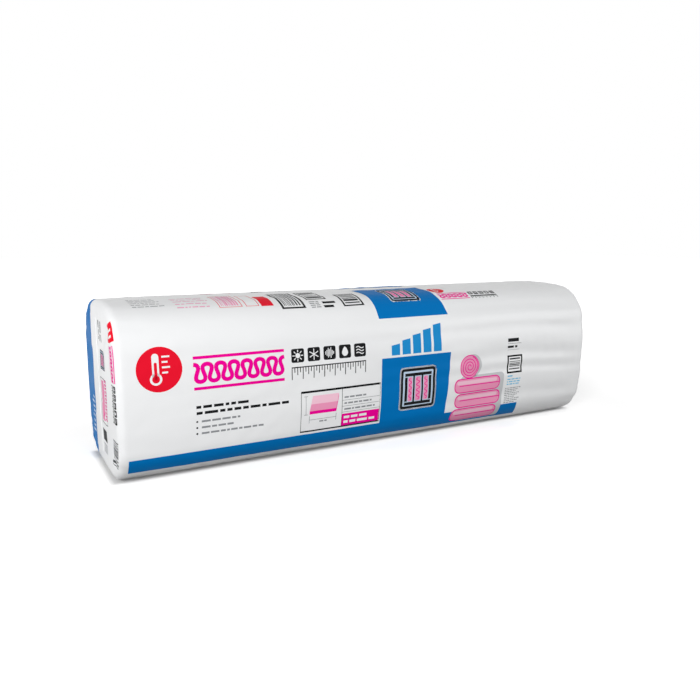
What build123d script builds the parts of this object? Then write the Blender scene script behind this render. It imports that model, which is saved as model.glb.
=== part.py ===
"""Bag of faced fiberglass batts: seven long batts, each folded in half, pressed flat and held in a film bag.

Units are millimetres. X runs along the bag, -Y is the printed front panel and +Z is up.
The origin is on the floor, under the middle of the bag.
"""

from build123d import *
from math import atan2, degrees, hypot, sqrt
import os

# The batts
batt_count = 7
batt_length = 2362.0  # one batt opened out, 93 in
facing_thickness = 0.8  # kraft paper with its asphalt coat
flange_width = 30.0  # stapling flange, a second ply of paper along each long edge
flange_thickness = 0.6
asphalt_gap = 0.3  # glue line between the paper and the glass wool
fold_gap = 1.0  # seam between the two halves of a folded batt
fold_bevel = 12.0  # corners of the fold, pressed nearly flat
neighbour_gap = 0.4  # between one folded batt and the next
edge_squeeze = 20.0  # how much thinner half the pack is at its long edges than in its middle

# The filled bag, measured over the film
bag_depth = 340.0
bag_height = 346.0
end_room = 14.5  # from the nominal half batt to each end panel
crown_radius = 840.0  # bow of the top, front and back panels
top_corner_radius = 97.0
bottom_corner_radius = 82.0
floor_curl = 25.0  # from a lower corner to the flat that the bag's own weight presses into its underside
floor_radius = 900.0  # bow from that flat out to the lower corners
end_edge_radius = 16.0  # rounding where an end panel turns into the sides

# The film
film_wall = 0.8
pack_gap = 0.4  # between the film and the batts
tuck_thickness = 0.9  # plies of the gusset that is folded in behind an end panel
tuck_margin = 26.0  # from the bag's outline to the base of a tuck
tuck_lap = 5.0  # between the points of the two tucks at one end
weld_width = 5.0  # welded line across the end that the bag was made with
weld_height = 1.6
fin_width = 27.0  # heat-sealed strip across the other end, folded down on the panel
fin_thickness = 1.6
seam_margin = 34.0  # from the bag's edge to the end of a weld or fin

folded_length = batt_length / 2
bag_length = folded_length + 2 * end_room
floor_width = bag_depth - 2 * (bottom_corner_radius + floor_curl)
widest_height = bag_height / 2
batt_pitch = (bag_height - 2 * (film_wall + pack_gap)) / batt_count


def corner_centre(first, first_radius, second, second_radius, radius, outward):
    """Centre of the corner arc that rolls inside two larger arcs and touches both."""
    first_reach = first_radius - radius
    second_reach = second_radius - radius
    apart = hypot(second[0] - first[0], second[1] - first[1])
    along = ((second[0] - first[0]) / apart, (second[1] - first[1]) / apart)
    share = (first_reach**2 - second_reach**2 + apart**2) / (2 * apart)
    aside = sqrt(first_reach**2 - share**2)
    foot = (first[0] + share * along[0], first[1] + share * along[1])
    choices = [
        (foot[0] - side * aside * along[1], foot[1] + side * aside * along[0])
        for side in (1, -1)
    ]
    return max(choices, key=lambda c: c[0] * outward[0] + c[1] * outward[1])


def bearing(centre, point):
    """Direction from centre to point, in degrees."""
    return degrees(atan2(point[1] - centre[1], point[0] - centre[0]))


def section(inset):
    """Cross-section of the bag, moved inwards by inset: a flat floor and tangent arcs, the same on both sides."""
    top = (0.0, bag_height - crown_radius)
    side = (bag_depth / 2 - crown_radius, widest_height)
    floor = (floor_width / 2, floor_radius)
    top_corner = corner_centre(top, crown_radius, side, crown_radius, top_corner_radius, (1, 1))
    low_corner = corner_centre(
        floor, floor_radius, side, crown_radius, bottom_corner_radius, (1, -1)
    )
    # Each bend is its centre, its radius and the bearings at which it starts and ends.
    stops = [
        -90.0,
        bearing(floor, low_corner),
        bearing(side, low_corner),
        bearing(side, top_corner),
        bearing(top, top_corner),
        90.0,
    ]
    centres = [floor, low_corner, side, top_corner, top]
    radii = [floor_radius, bottom_corner_radius, crown_radius, top_corner_radius, crown_radius]
    right = [
        CenterArc(centre, radius - inset, start, stop - start)
        for centre, radius, start, stop in zip(centres, radii, stops, stops[1:])
    ]
    left = [mirror(arc, about=Plane.YZ) for arc in right]
    flat = Line((-floor_width / 2, inset), (floor_width / 2, inset))
    return Plane.YZ * make_face(Curve() + right + left + flat)


def pillow(inset):
    """The filled shape with every surface moved inwards by inset."""
    body = extrude(section(inset), bag_length / 2 - inset, both=True)
    panels = body.faces().sort_by(Axis.X)
    return fillet(panels[0].edges() + panels[-1].edges(), end_edge_radius - inset)


def on_end_panel(side, outline, thickness):
    """A ply of that outline lying on the panel at one end."""
    return extrude(Pos(side * bag_length / 2, 0, 0) * outline, side * thickness)


def gusset_tucks():
    """The two triangles of folded gusset, base along the top and bottom edges, points at the middle."""
    panel = section(tuck_margin)
    reach = bag_height
    slope = (bag_depth / 2 - tuck_margin) / (bag_height / 2 - tuck_margin)
    tucks = []
    for up in (1, -1):
        wedge = Polygon((0, 0), (slope * reach, up * reach), (-slope * reach, up * reach), align=None)
        tucks.append(panel & Plane.YZ * Pos(0, widest_height + up * tuck_lap / 2) * wedge)
    return tucks


def bag():
    """The film bag: its wall, the gusset tucks at both ends, the made end's weld and the closed end's fin."""
    shape = pillow(0)
    seam_length = bag_height - 2 * seam_margin
    middle = Plane.YZ * Pos(0, widest_height)
    weld = middle * Rectangle(weld_width, seam_length)
    fin = middle * Pos((fin_width - weld_width) / 2, 0) * Rectangle(fin_width, seam_length)
    plies = [on_end_panel(-1, weld, weld_height + tuck_thickness)]
    plies.append(on_end_panel(1, fin, fin_thickness + tuck_thickness))
    for side in (1, -1):
        plies += [on_end_panel(side, tuck, tuck_thickness) for tuck in gusset_tucks()]
    for ply in plies:
        shape += ply
    return shape - pillow(film_wall)


def boundary(level, shift):
    """Where one folded batt meets the next, seen from the end: a bow across the bag, moved up by shift."""
    middle = film_wall + pack_gap + level * batt_pitch + shift
    drop = edge_squeeze * (2 * level / batt_count - 1)
    reach = bag_depth / 2 + batt_pitch
    if drop == 0:
        return Line((-reach, middle), (reach, middle))
    edge = middle - drop * (reach / (bag_depth / 2)) ** 2
    return ThreePointArc((-reach, edge), (0, middle), (reach, edge))


def band(first, first_shift, last, last_shift):
    """Everything between two boundaries, seen from the end."""
    lower = boundary(first, first_shift)
    upper = boundary(last, last_shift)
    sides = [Line(lower @ end, upper @ end) for end in (0, 1)]
    return Plane.YZ * make_face(Curve() + [lower, upper] + sides)


def layer(index, inset):
    """The room of one folded batt with its faces moved inwards by inset, bevelled at the fold, long at the other end.

    The lowest and highest batts curl round the bag's corners, so there the bag's own outline moves inwards too.
    """
    outermost = index in (0, batt_count - 1)
    bevel = fold_bevel - (2 - sqrt(2)) * inset
    at_fold = Pos(folded_length / 2 - inset, 0, 0)
    outline = at_fold * section(film_wall + pack_gap + (inset if outermost else 0))
    sides = extrude(outline, -bag_length)
    if outermost:
        sides = chamfer(sides.faces().sort_by(Axis.X)[-1].edges(), bevel)
    first, first_shift = (index, neighbour_gap / 2 + inset) if index > 0 else (-1, 0)
    last, last_shift = (index + 1, -neighbour_gap / 2 - inset)
    if index == batt_count - 1:
        last, last_shift = (batt_count + 1, 0)
    sheet = extrude(at_fold * band(first, first_shift, last, last_shift), -bag_length)
    rims = sheet.faces().sort_by(Axis.X)[-1].edges()
    rims = rims.filter_by(lambda edge: edge.bounding_box().size.Y > bag_depth)
    return sides & chamfer(rims, bevel)


def trimmed(body):
    """Cuts both halves of a folded batt off square at the open end."""
    return split(body, bisect_by=Plane.YZ.offset(-folded_length / 2), keep=Keep.TOP)


def half_seam(index):
    """The slit between the two halves of a folded batt, which stops short of the fold."""
    slit = band(index + 0.5, -fold_gap / 2, index + 0.5, fold_gap / 2)
    return extrude(Pos(folded_length / 2 - batt_pitch, 0, 0) * slit, -bag_length)


def facing(index):
    """The kraft paper of one batt, wrapped round the outside of its fold, with its two stapling flanges."""
    under_flange = layer(index, flange_thickness)
    paper = under_flange - layer(index, flange_thickness + facing_thickness)
    middle = Box(2 * bag_length, bag_depth - 2 * flange_width, 2 * bag_height)
    flanges = layer(index, 0) - under_flange - middle
    return trimmed(paper + flanges)


def glass_wool(index):
    """The glass wool of one batt, pressed to a sixth of its loft, with the seam between its halves."""
    room = layer(index, flange_thickness + facing_thickness + asphalt_gap)
    return trimmed(room - half_seam(index))


def main():
    """Writes one STEP file for each piece."""
    os.makedirs("parts", exist_ok=True)
    export_step(bag(), "parts/film_bag.step")
    for index in range(batt_count):
        export_step(facing(index), f"parts/kraft_facing_{index + 1}.step")
        export_step(glass_wool(index), f"parts/glass_wool_{index + 1}.step")


main()
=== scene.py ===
"""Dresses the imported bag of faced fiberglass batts: printed film, seals, batts and a plain studio.

The file is laid out as a Blender add-on and run as a script. Lengths inside the functions are in
millimetres, settings and meshes are in metres. Places on the film are given as a, along the bag from its
middle, and v, round the bag from the middle of the front panel, upwards over the top and down the back.
Each printed motif is drawn round or beside an origin of its own, and Print.lay_at says where that lies.
"""

from math import atan2, cos, hypot, pi, sin, sqrt, tau

import bpy
import numpy as np
from mathutils import Matrix, Vector
from mathutils.geometry import delaunay_2d_cdt, tessellate_polygon


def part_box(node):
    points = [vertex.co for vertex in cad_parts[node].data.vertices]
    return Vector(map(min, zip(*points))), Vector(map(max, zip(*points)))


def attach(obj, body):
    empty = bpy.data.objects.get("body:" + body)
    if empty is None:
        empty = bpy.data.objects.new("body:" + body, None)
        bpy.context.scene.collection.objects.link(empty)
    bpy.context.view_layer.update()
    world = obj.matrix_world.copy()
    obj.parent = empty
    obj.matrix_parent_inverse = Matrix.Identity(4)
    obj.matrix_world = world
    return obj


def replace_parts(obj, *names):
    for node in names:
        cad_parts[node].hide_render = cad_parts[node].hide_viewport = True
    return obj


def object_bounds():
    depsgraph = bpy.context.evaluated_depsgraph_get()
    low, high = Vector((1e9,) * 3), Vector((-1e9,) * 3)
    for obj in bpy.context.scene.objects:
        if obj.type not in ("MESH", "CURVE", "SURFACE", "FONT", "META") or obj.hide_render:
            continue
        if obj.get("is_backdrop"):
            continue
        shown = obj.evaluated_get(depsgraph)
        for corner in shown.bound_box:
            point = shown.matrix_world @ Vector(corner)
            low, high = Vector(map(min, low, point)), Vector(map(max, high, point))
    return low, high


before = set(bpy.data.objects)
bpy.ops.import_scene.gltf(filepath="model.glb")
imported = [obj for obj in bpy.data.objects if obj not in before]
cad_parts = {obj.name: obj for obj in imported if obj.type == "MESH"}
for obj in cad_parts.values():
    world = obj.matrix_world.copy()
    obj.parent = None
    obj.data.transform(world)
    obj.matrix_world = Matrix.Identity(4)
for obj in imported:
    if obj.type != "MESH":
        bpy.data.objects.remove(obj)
cad_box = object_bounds()

bl_info = {
    "name": "Bag of Faced Batts",
    "version": (1, 0, 0),
    "blender": (4, 5, 0),
    "location": "View3D > Sidebar > Batt Bag",
    "description": "Builds a compression-packed film bag of faced fiberglass batts around its CAD frame",
    "category": "Object",
}

MM = 0.001

# The filled bag's form, the same sizes as the frame's film bag
LOW, HIGH = (np.array(corner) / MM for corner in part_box("film_bag"))
SEAL_RISE = 2.5  # how far the weld and the fin stand out from the end panels
END = HIGH[0] - SEAL_RISE  # each end panel, from the bag's middle
DEPTH = HIGH[1] - LOW[1]
HEIGHT = HIGH[2]
CROWN_RADIUS = 840.0
TOP_CORNER = 97.0
LOW_CORNER = 82.0
FLOOR_CURL = 25.0
FLOOR_RADIUS = 900.0
RIM = 16.0  # rounding where an end panel turns into the sides
TUCK_MARGIN = 26.0
TUCK_LAP = 5.0
TUCK_RISE = 0.9
TUCK_EDGE = 3.0  # width of the slope at a tuck's edges
TUCK_EASE = 4.0  # how much nearer the middle a tuck's base lies than its margin
SEAM_MARGIN = 34.0
STRAIGHT = END - RIM
RIM_ARC = STRAIGHT + RIM * pi / 2  # where the rim has turned into the end panel

# How finely the film is divided
FLOOR_STEPS = 40  # section points along half the flat on the floor
ARC_STEPS = 100  # section points along each arc
ROUND_STEPS = 241  # grid lines round the tube
FINE_STEP = 3.6  # between grid lines along the tube, near its ends
COARSE_STEP = 5.6  # and in its middle
FINE_REACH = 110.0
PANEL_STEP = 3.4  # between grid lines on an end panel
RIM_GAP = 2.2  # an end panel's grid points nearer to the rim than this are left out

# The layers of batts that show through the film: v and half width of each groove between them
FRONT_GROOVES = ((-96.0, 17.0), (-27.0, 12.0), (8.0, 16.0), (77.0, 14.0), (134.0, 11.0))
BACK_GROOVES = ((466.0, 15.0), (515.0, 20.0), (564.0, 15.0), (613.0, 22.0), (662.0, 15.0), (711.0, 15.0))
RIGHTWARD = (-150.0, 500.0)  # the layers show more from this a onwards, and in full this much further on
STAND = (0.3, 1.6)  # how far the film stands out at the left, and how much more at the right
FRONT_DEPTH = (0.5, 2.2)  # depth of the grooves, given in the same way
BACK_DEPTH = (0.9, 1.4)
FADE = 0.55  # share of their depth that the grooves lose at both ends
FADE_START = 510.0
FADE_REACH = 80.0
DEEPEST = -0.85  # the film lies this deep at most, where it touches the batts
RIM_DEEPEST = -3.5  # past the batts' ends, where it bridges to the end panel
BRIDGE_START = 594.0
BOW = ((5.0, 150.0, 0.0), (2.0, 57.0, 1.0))  # how the grooves wander: height, length and phase of each wave
WAVES = ((0.35, 3, 150, 2.2), (0.2, 5, 60, 2.5))  # soft waves: height, seed, length and stretch
FINE_WAVES = (0.12, 0.22)  # height of the fine waves, and how much more on the top
TOP_EDGES = (170.0, 440.0)  # v
TOP_EASE = 60.0
CORNERS = (-165.0, 185.0, 405.0, 755.0)  # v of the four long corners, where the ends pucker most
CORNER_WIDTH = 70.0
PUCKER_START = 12.0  # the puckers fade from this far before the end panel
PUCKER_FADE = 42.0  # to about a third over this length
PUCKER_SHARE = 0.15  # their depth away from the corners
PANEL_START = 60.0  # from this far in, an end panel has a rise and waves of its own
PANEL_EASE = 40.0
PANEL_RISE = 0.4
PANEL_WAVES = 0.35

# The seals: each is a strip laid on an end panel
SEAL_BASE = 0.35  # its height over the film, before its own thickness is added
SEAL_FOOT = 0.3  # how deep its underside reaches into the film
SEAL_ROWS = 130
FIN_CURL = 0.5  # how far the fin's free edge lifts, and how high its waves are

# The prints
INK_LIFT = 0.12  # the lowest layer of ink over the film
INK_STEP = 0.05  # and each layer over the one before it
SLIVER = 1e-4  # square millimetres; a smaller cutting is left out
DASH_LENGTHS = (1.2, 5.0)  # shortest and longest dash, in heights of its row
DASH_GAP = 0.75
BAR_WIDTHS = (0.03, 0.05, 0.09)  # shares of the row of bars
BAR_GAPS = (0.03, 0.05, 0.08)
LYING_BARS = 1.9  # how much coarser the bars are in a row that lies on its side
HIDDEN_DROP = 22.0  # how much lower the print lies on the back half of the top
DOWN = -pi / 2  # turn of a print that runs down the made end
DISC_STEPS = 40
CAPSULE_STEPS = 10
CORNER_STEPS = 6

# The stage
AIM = (0.0, 0.0, 0.17)  # metres, where the lamps point
PAINTED_SHADE_FOOTPRINT = (END * MM, 0.110, 0.0)  # half sizes of the floor round the bag's foot that gets no glow, so that it shows painted shade over its real shadow, in metres
PAINTED_SHADE_REACH = 0.014  # metres beside it over which the painted shade gives way to glow and the floor turns white
FAR_START = 0.2
FAR_STOP = 1.3
GLOW = 0.5  # painted light that the paper adds beside the bag, and as much again far away
PAINTED_SHADE_BOUNCE = "#303030"  # the floor as it lights the bag: painted dark grey, which lays painted shade on the bag's lower curve
FLOOR_REACH = 12000.0
YAW = 0.513407
PITCH = 0.171873
ROLL = 0.004947
CAMERA_PLACE = (-0.81421, -1.40561, 0.47881)
CAMERA_NEAR = 0.02
CAMERA_FAR = 60


def linear(colour):
    """Linear RGB of an sRGB hex colour."""
    parts = [int(colour[place : place + 2], 16) / 255 for place in (1, 3, 5)]
    return tuple(c / 12.92 if c <= 0.04045 else ((c + 0.055) / 1.055) ** 2.4 for c in parts)


# The filled shape


def corner_centre(first, first_radius, second, second_radius, radius, outward):
    """Centre of the corner arc that rolls inside two larger arcs and touches both."""
    first_reach = first_radius - radius
    second_reach = second_radius - radius
    apart = hypot(second[0] - first[0], second[1] - first[1])
    along = ((second[0] - first[0]) / apart, (second[1] - first[1]) / apart)
    share = (first_reach**2 - second_reach**2 + apart**2) / (2 * apart)
    aside = sqrt(first_reach**2 - share**2)
    foot = (first[0] + share * along[0], first[1] + share * along[1])
    choices = [(foot[0] - s * aside * along[1], foot[1] + s * aside * along[0]) for s in (1, -1)]
    return max(choices, key=lambda c: c[0] * outward[0] + c[1] * outward[1])


def section_samples():
    """The section from the floor's middle over the front and top to the floor again: v, y, z and normal."""
    top = (0.0, HEIGHT - CROWN_RADIUS)
    side = (DEPTH / 2 - CROWN_RADIUS, HEIGHT / 2)
    floor = (DEPTH / 2 - LOW_CORNER - FLOOR_CURL, FLOOR_RADIUS)
    high = corner_centre(top, CROWN_RADIUS, side, CROWN_RADIUS, TOP_CORNER, (1, 1))
    low = corner_centre(floor, FLOOR_RADIUS, side, CROWN_RADIUS, LOW_CORNER, (1, -1))
    centres = [floor, low, side, high, top]
    radii = [FLOOR_RADIUS, LOW_CORNER, CROWN_RADIUS, TOP_CORNER, CROWN_RADIUS]
    turns = [(floor, low), (side, low), (side, high), (top, high)]
    stops = [-pi / 2, *(atan2(b[1] - a[1], b[0] - a[0]) for a, b in turns), pi / 2]
    rows = [np.array([[y, 0.0, 0.0, -1.0] for y in np.linspace(0, floor[0], FLOOR_STEPS)])]
    for centre, radius, start, stop in zip(centres, radii, stops, stops[1:]):
        angle = np.linspace(start, stop, ARC_STEPS)[1:]
        wall = [centre[0] + radius * np.cos(angle), centre[1] + radius * np.sin(angle)]
        rows.append(np.column_stack([*wall, np.cos(angle), np.sin(angle)]))
    back = np.vstack(rows)
    loop = np.vstack([back * (-1, 1, -1, 1), back[-2::-1]])
    girth = np.concatenate([[0], np.cumsum(np.hypot(*np.diff(loop[:, :2], axis=0).T))])
    front = slice(ARC_STEPS, 3 * ARC_STEPS)  # rises steadily past the middle of the front panel
    middle = np.interp(HEIGHT / 2, loop[front, 1], girth[front])
    return girth - middle, loop


SECTION_V, SECTION = section_samples()
FLOOR_FRONT = SECTION_V[0]
FLOOR_BACK = SECTION_V[-1]
TOP_MIDDLE = (FLOOR_FRONT + FLOOR_BACK) / 2
RIM_FOOT = SECTION[:, :2] - SECTION[:, 2:] * RIM  # where the rim meets an end panel, y and z
FRONT_HALF = slice(0, len(SECTION) // 2)


def on_section(v):
    """y, z and the outward normal's y and z at v."""
    return [np.interp(v, SECTION_V, column) for column in SECTION.T]


def together(*parts):
    """Arrays of coordinates as one array of points."""
    return np.stack(np.broadcast_arrays(*parts), -1)


def swell(edge, reach):
    """0 before the edge, 1 a reach later, with a smooth rise between."""
    share = np.clip(edge / reach, 0, 1)
    return share * share * (3 - 2 * share)


def ripples(a, v, seed, wave, stretch, count=14):
    """Gentle random waves about wave mm long, stretched along the bag, between about -1 and 1."""
    draw = np.random.default_rng(seed)
    total = np.zeros(np.broadcast(a, v).shape)
    for _ in range(count):
        turn = draw.uniform(0, pi)
        length = wave * draw.uniform(0.7, 1.4)
        phase = draw.uniform(0, tau)
        total += np.cos(tau * (a * cos(turn) / stretch + v * sin(turn)) / length + phase)
    return total / sqrt(count)


def relief(a, v, sizes):
    """How far the film stands out from the plain filled shape, at a and v."""
    from_middle = np.abs(a)
    from_end = RIM_ARC - from_middle
    rightward = swell(a - RIGHTWARD[0], RIGHTWARD[1])
    shown = sizes.ridge_strength * (1 - FADE * swell(from_middle - FADE_START, FADE_REACH))
    bow = sum(high * np.sin(a / length + phase) for high, length, phase in BOW)
    height = STAND[0] + STAND[1] * rightward + np.zeros(np.broadcast(a, v).shape)
    for grooves, depth in ((FRONT_GROOVES, FRONT_DEPTH), (BACK_GROOVES, BACK_DEPTH)):
        for place, wide in grooves:
            height -= shown * (depth[0] + depth[1] * rightward) * np.exp(-(((v - place - bow) / wide) ** 2))
    for size, seed, wave, stretch in WAVES:
        height += size * ripples(a, v, seed, wave, stretch)
    upward = swell(v - TOP_EDGES[0], TOP_EASE) * swell(TOP_EDGES[1] - v, TOP_EASE)
    height += (FINE_WAVES[0] + FINE_WAVES[1] * upward) * ripples(a, v, 9, 30, 1.4, 24)
    corner = sum(np.exp(-(((v - place) / CORNER_WIDTH) ** 2)) for place in CORNERS)
    fading = np.exp(-np.clip(from_end - PUCKER_START, 0, None) / PUCKER_FADE)
    pucker = fading * swell(from_end + 34, 30)
    folds = np.clip(ripples(a, v, 7, 40, 5, 18), 0, None)
    height -= sizes.pucker_depth / MM * pucker * (PUCKER_SHARE + corner) * folds
    deepest = DEEPEST + (RIM_DEEPEST - DEEPEST) * swell(from_middle - BRIDGE_START, 10)
    _, z, _, nz = on_section(v)
    resting = np.where(nz < -0.4, swell(z - 0.5, 14), 1)
    return np.maximum(height, deepest) * resting


def filled(a, v, sizes):
    """Points of the filled bag's tube and rims, with its relief."""
    y, z, ny, nz = on_section(v)
    turn = np.clip((np.abs(a) - STRAIGHT) / RIM, 0, pi / 2)
    inset = RIM * (1 - np.cos(turn))
    along = np.sign(a) * (np.minimum(np.abs(a), STRAIGHT) + RIM * np.sin(turn))
    plain = together(along, y - ny * inset, z - nz * inset)
    normal = together(np.sign(a) * np.sin(turn), ny * np.cos(turn), nz * np.cos(turn))
    return plain + normal * relief(a, v, sizes)[..., None]


def tuck_height(y, z):
    """How much the folded gussets raise an end panel, at y and z."""
    rise = HEIGHT / 2 - TUCK_MARGIN
    slope = (DEPTH / 2 - TUCK_MARGIN) / rise
    above = np.abs(z - HEIGHT / 2) - TUCK_LAP / 2
    inside = (above * slope - np.abs(y)) / sqrt(1 + slope * slope)
    base = rise - TUCK_EASE - np.abs(z - HEIGHT / 2)
    return TUCK_RISE * swell(np.minimum(inside, base) + TUCK_EDGE / 2, TUCK_EDGE)


def end_panel(side, y, z, sizes):
    """Points of the film over an end panel, at y and z."""
    spot = np.stack([np.ravel(y), np.ravel(z)], -1)
    gap = spot[:, None, :] - SECTION[None, :, :2]
    nearest = np.argmin((gap**2).sum(-1), 1)
    inset = np.sqrt((gap[np.arange(len(spot)), nearest] ** 2).sum(-1))
    height = relief(side * (RIM_ARC - RIM + inset), SECTION_V[nearest], sizes).reshape(np.shape(y))
    inset = inset.reshape(np.shape(y))
    plain = swell(inset - PANEL_START, PANEL_EASE)
    waved = swell(inset - PANEL_START / 2, PANEL_EASE)
    height = height * (1 - plain) + PANEL_RISE * plain + tuck_height(y, z)
    height += PANEL_WAVES * ripples(z, y + side * 40, 11, 70, 1.6) * waved
    return np.stack([side * (END + height), y, z], -1)


# Meshes


class Patch:
    """A grid of film points over two coordinates, each cell split along the same diagonal."""

    def __init__(self, across, up, points, flip=False, outline=None):
        self.across = across
        self.up = up
        self.points = points
        self.flip = flip
        self.outline = outline
        normals = np.cross(np.gradient(points, axis=0), np.gradient(points, axis=1))
        normals /= np.linalg.norm(normals, axis=-1, keepdims=True)
        self.normals = -normals if flip else normals

    def facets(self, part):
        """The triangles round a flat polygon: cell, whether it is the cell's lower one, and corners."""
        spans = []
        for lines, places in zip((self.across, self.up), zip(*part)):
            first = np.clip(np.searchsorted(lines, min(places), "right") - 1, 0, len(lines) - 2)
            last = np.clip(np.searchsorted(lines, max(places), "left"), 1, len(lines) - 1)
            spans.append(range(first, last))
        for i in spans[0]:
            for j in spans[1]:
                a, b, c, d = box(self.across[i], self.up[j], self.across[i + 1], self.up[j + 1])
                yield (i, j), True, [a, b, c]
                yield (i, j), False, [a, c, d]


def tube_patch(sizes):
    """The tube of film with its rims, fine near the ends where it puckers."""
    fine = np.arange(RIM_ARC, RIM_ARC - FINE_REACH, -FINE_STEP)
    count = round(2 * fine[-1] / COARSE_STEP)
    middle = np.linspace(-fine[-1], fine[-1], count + 1)
    across = np.concatenate([-fine[:-1], middle, fine[:-1][::-1]])
    up = np.linspace(FLOOR_FRONT, FLOOR_BACK, ROUND_STEPS)
    points = filled(across[:, None], up[None, :], sizes)
    points[..., 2] = np.maximum(points[..., 2], 0)
    return Patch(across, up, points)


def end_patch(side, sizes):
    """The end panel's film, over y and z."""
    across = np.arange(-DEPTH / 2, DEPTH / 2 + 1, PANEL_STEP)
    up = np.arange(0, HEIGHT + 1, PANEL_STEP)
    points = end_panel(side, *np.meshgrid(across, up, indexing="ij"), sizes)
    return Patch(across, up, points, side < 0, [tuple(spot) for spot in RIM_FOOT[::-9]])


def add_mesh(name, points, faces, materials, slots=None, normals=None):
    """A smooth-shaded object from points in millimetres."""
    mesh = bpy.data.meshes.new(name)
    mesh.from_pydata((np.asarray(points) * MM).tolist(), [], faces)
    for material in materials:
        mesh.materials.append(material)
    if slots is not None:
        mesh.polygons.foreach_set("material_index", slots)
    mesh.shade_smooth()
    mesh.update()
    if normals is not None:
        mesh.normals_split_custom_set_from_vertices(np.asarray(normals).tolist())
    piece = bpy.data.objects.new(name, mesh)
    bpy.context.scene.collection.objects.link(piece)
    return piece


def carry(piece):
    """Makes a piece ride with the bag."""
    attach(piece, "root")
    return piece


def numbered(columns, rows):
    """Numbers for a grid of points, counted up each column."""
    return np.arange(columns * rows).reshape(columns, rows)


def triangles(spot):
    """Two triangles for each cell of a grid of numbered points."""
    a, b, c, d = spot[:-1, :-1], spot[1:, :-1], spot[1:, 1:], spot[:-1, 1:]
    return np.concatenate([np.stack([a, b, c], -1).reshape(-1, 3), np.stack([a, c, d], -1).reshape(-1, 3)])


def within(spots, outline):
    """Which spots lie inside a closed outline."""
    x, y = spots[:, :1], spots[:, 1:]
    start, stop = outline, np.roll(outline, -1, axis=0)
    crosses = (start[:, 1] > y) != (stop[:, 1] > y)
    fall = np.where(stop[:, 1] == start[:, 1], 1, stop[:, 1] - start[:, 1])
    reach = start[:, 0] + (y - start[:, 1]) * (stop[:, 0] - start[:, 0]) / fall
    return (crosses & (x < reach)).sum(1) % 2 == 1


def cap_triangles(patch, rim_points, side):
    """Triangles that close an end: the patch's inner points, tied to the rim's ring of points."""
    ring = [tuple(p[1:]) for p in rim_points]
    across, up = np.meshgrid(patch.across, patch.up, indexing="ij")
    spots = np.stack([across.ravel(), up.ravel()], -1)
    gap = ((spots[:, None, :] - np.array(ring)[None, :, :]) ** 2).sum(-1).min(1)
    keep = np.flatnonzero(within(spots, RIM_FOOT) & (gap > RIM_GAP**2))
    number = np.full(len(spots), -1)
    number[keep] = len(ring) + np.arange(len(keep))
    grid = number[triangles(numbered(len(patch.across), len(patch.up)))]
    whole = grid[(grid >= 0).all(1)]
    edges = [(i, (i + 1) % len(ring)) for i in range(len(ring))]
    edges += {tuple(sorted(pair)) for t in whole.tolist() for pair in zip(t, t[1:] + t[:1])}
    flat = [Vector(p) for p in ring] + [Vector(spots[i]) for i in keep]
    made, _, faces, origin, _, _ = delaunay_2d_cdt(flat, edges, [], 1, 1e-6)
    if len(made) != len(flat):
        raise RuntimeError("the end panel's points don't match its rim")
    faces = [[origin[i][0] for i in face] for face in faces]
    inner = patch.points.reshape(-1, 3)[keep]
    return inner, [face if side > 0 else face[::-1] for face in faces]


def film_mesh(tube, ends):
    """Points and faces of the whole film: the tube, closed by both end panels."""
    columns, rows = len(tube.across), len(tube.up) - 1
    points = tube.points[:, :-1].reshape(-1, 3)
    spot = numbered(columns, rows)
    faces = triangles(np.concatenate([spot, spot[:, :1]], 1)).tolist()
    for side, column in ((-1, 0), (1, columns - 1)):
        ring = spot[column]
        inner, cap = cap_triangles(ends[side], points[ring], side)
        number = np.concatenate([ring, len(points) + np.arange(len(inner))])
        points = np.concatenate([points, inner])
        faces += [[int(number[i]) for i in face] for face in cap]
    return points, faces


def seal(name, side, left, right, columns, sizes):
    """A closed strip of welded film on an end panel, with soft edges. The fin's free edge curls."""
    across = np.linspace(left, right, columns)
    up = np.linspace(SEAM_MARGIN, HEIGHT - SEAM_MARGIN, SEAL_ROWS)
    wide, tall = np.meshgrid(across, up, indexing="ij")
    share = (wide - left) / (right - left)
    edge = np.minimum(share, 1 - share) * (right - left)
    lift = SEAL_BASE + sizes.seal_thickness / MM * swell(edge + 0.4, 1.6)
    if side > 0:
        lift += FIN_CURL * swell(share - 0.5, 0.5) * (1 + ripples(tall, wide, 21, 34, 1, 10))
    top = end_panel(side, wide, tall, sizes)
    foot = top.copy()
    top[..., 0] += side * lift
    foot[..., 0] -= side * SEAL_FOOT
    spot = numbered(*wide.shape)
    upper = triangles(spot)
    lower = upper[:, ::-1] + spot.size
    rim = np.concatenate([spot[:, 0], spot[-1, 1:], spot[-2::-1, -1], spot[0, -2:0:-1]])
    after = np.roll(rim, -1)
    wall = np.stack([rim + spot.size, after + spot.size, after, rim], -1)
    faces = upper.tolist() + lower.tolist() + wall.tolist()
    if side < 0:
        faces = [face[::-1] for face in faces]
    points = np.concatenate([top.reshape(-1, 3), foot.reshape(-1, 3)])
    carry(add_mesh(name, points, faces, [SHARED["film"]]))


# Printing


def clipped(corners, outline):
    """Part of a convex polygon that lies inside another convex, counterclockwise one."""
    for start, stop in zip(outline, outline[1:] + outline[:1]):
        dx, dy = stop[0] - start[0], stop[1] - start[1]
        sides = [dx * (p[1] - start[1]) - dy * (p[0] - start[0]) for p in corners]
        kept = []
        for i, corner in enumerate(corners):
            before, now = sides[i - 1], sides[i]
            if (before < 0) != (now < 0):
                share = before / (before - now)
                kept.append(tuple(p + share * (q - p) for p, q in zip(corners[i - 1], corner)))
            if now >= 0:
                kept.append(corner)
        corners = kept
        if len(corners) < 3:
            return []
    return corners


def area(corners):
    """Signed area of a flat polygon."""
    return sum(p[0] * q[1] - q[0] * p[1] for p, q in zip(corners, corners[1:] + corners[:1])) / 2


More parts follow.
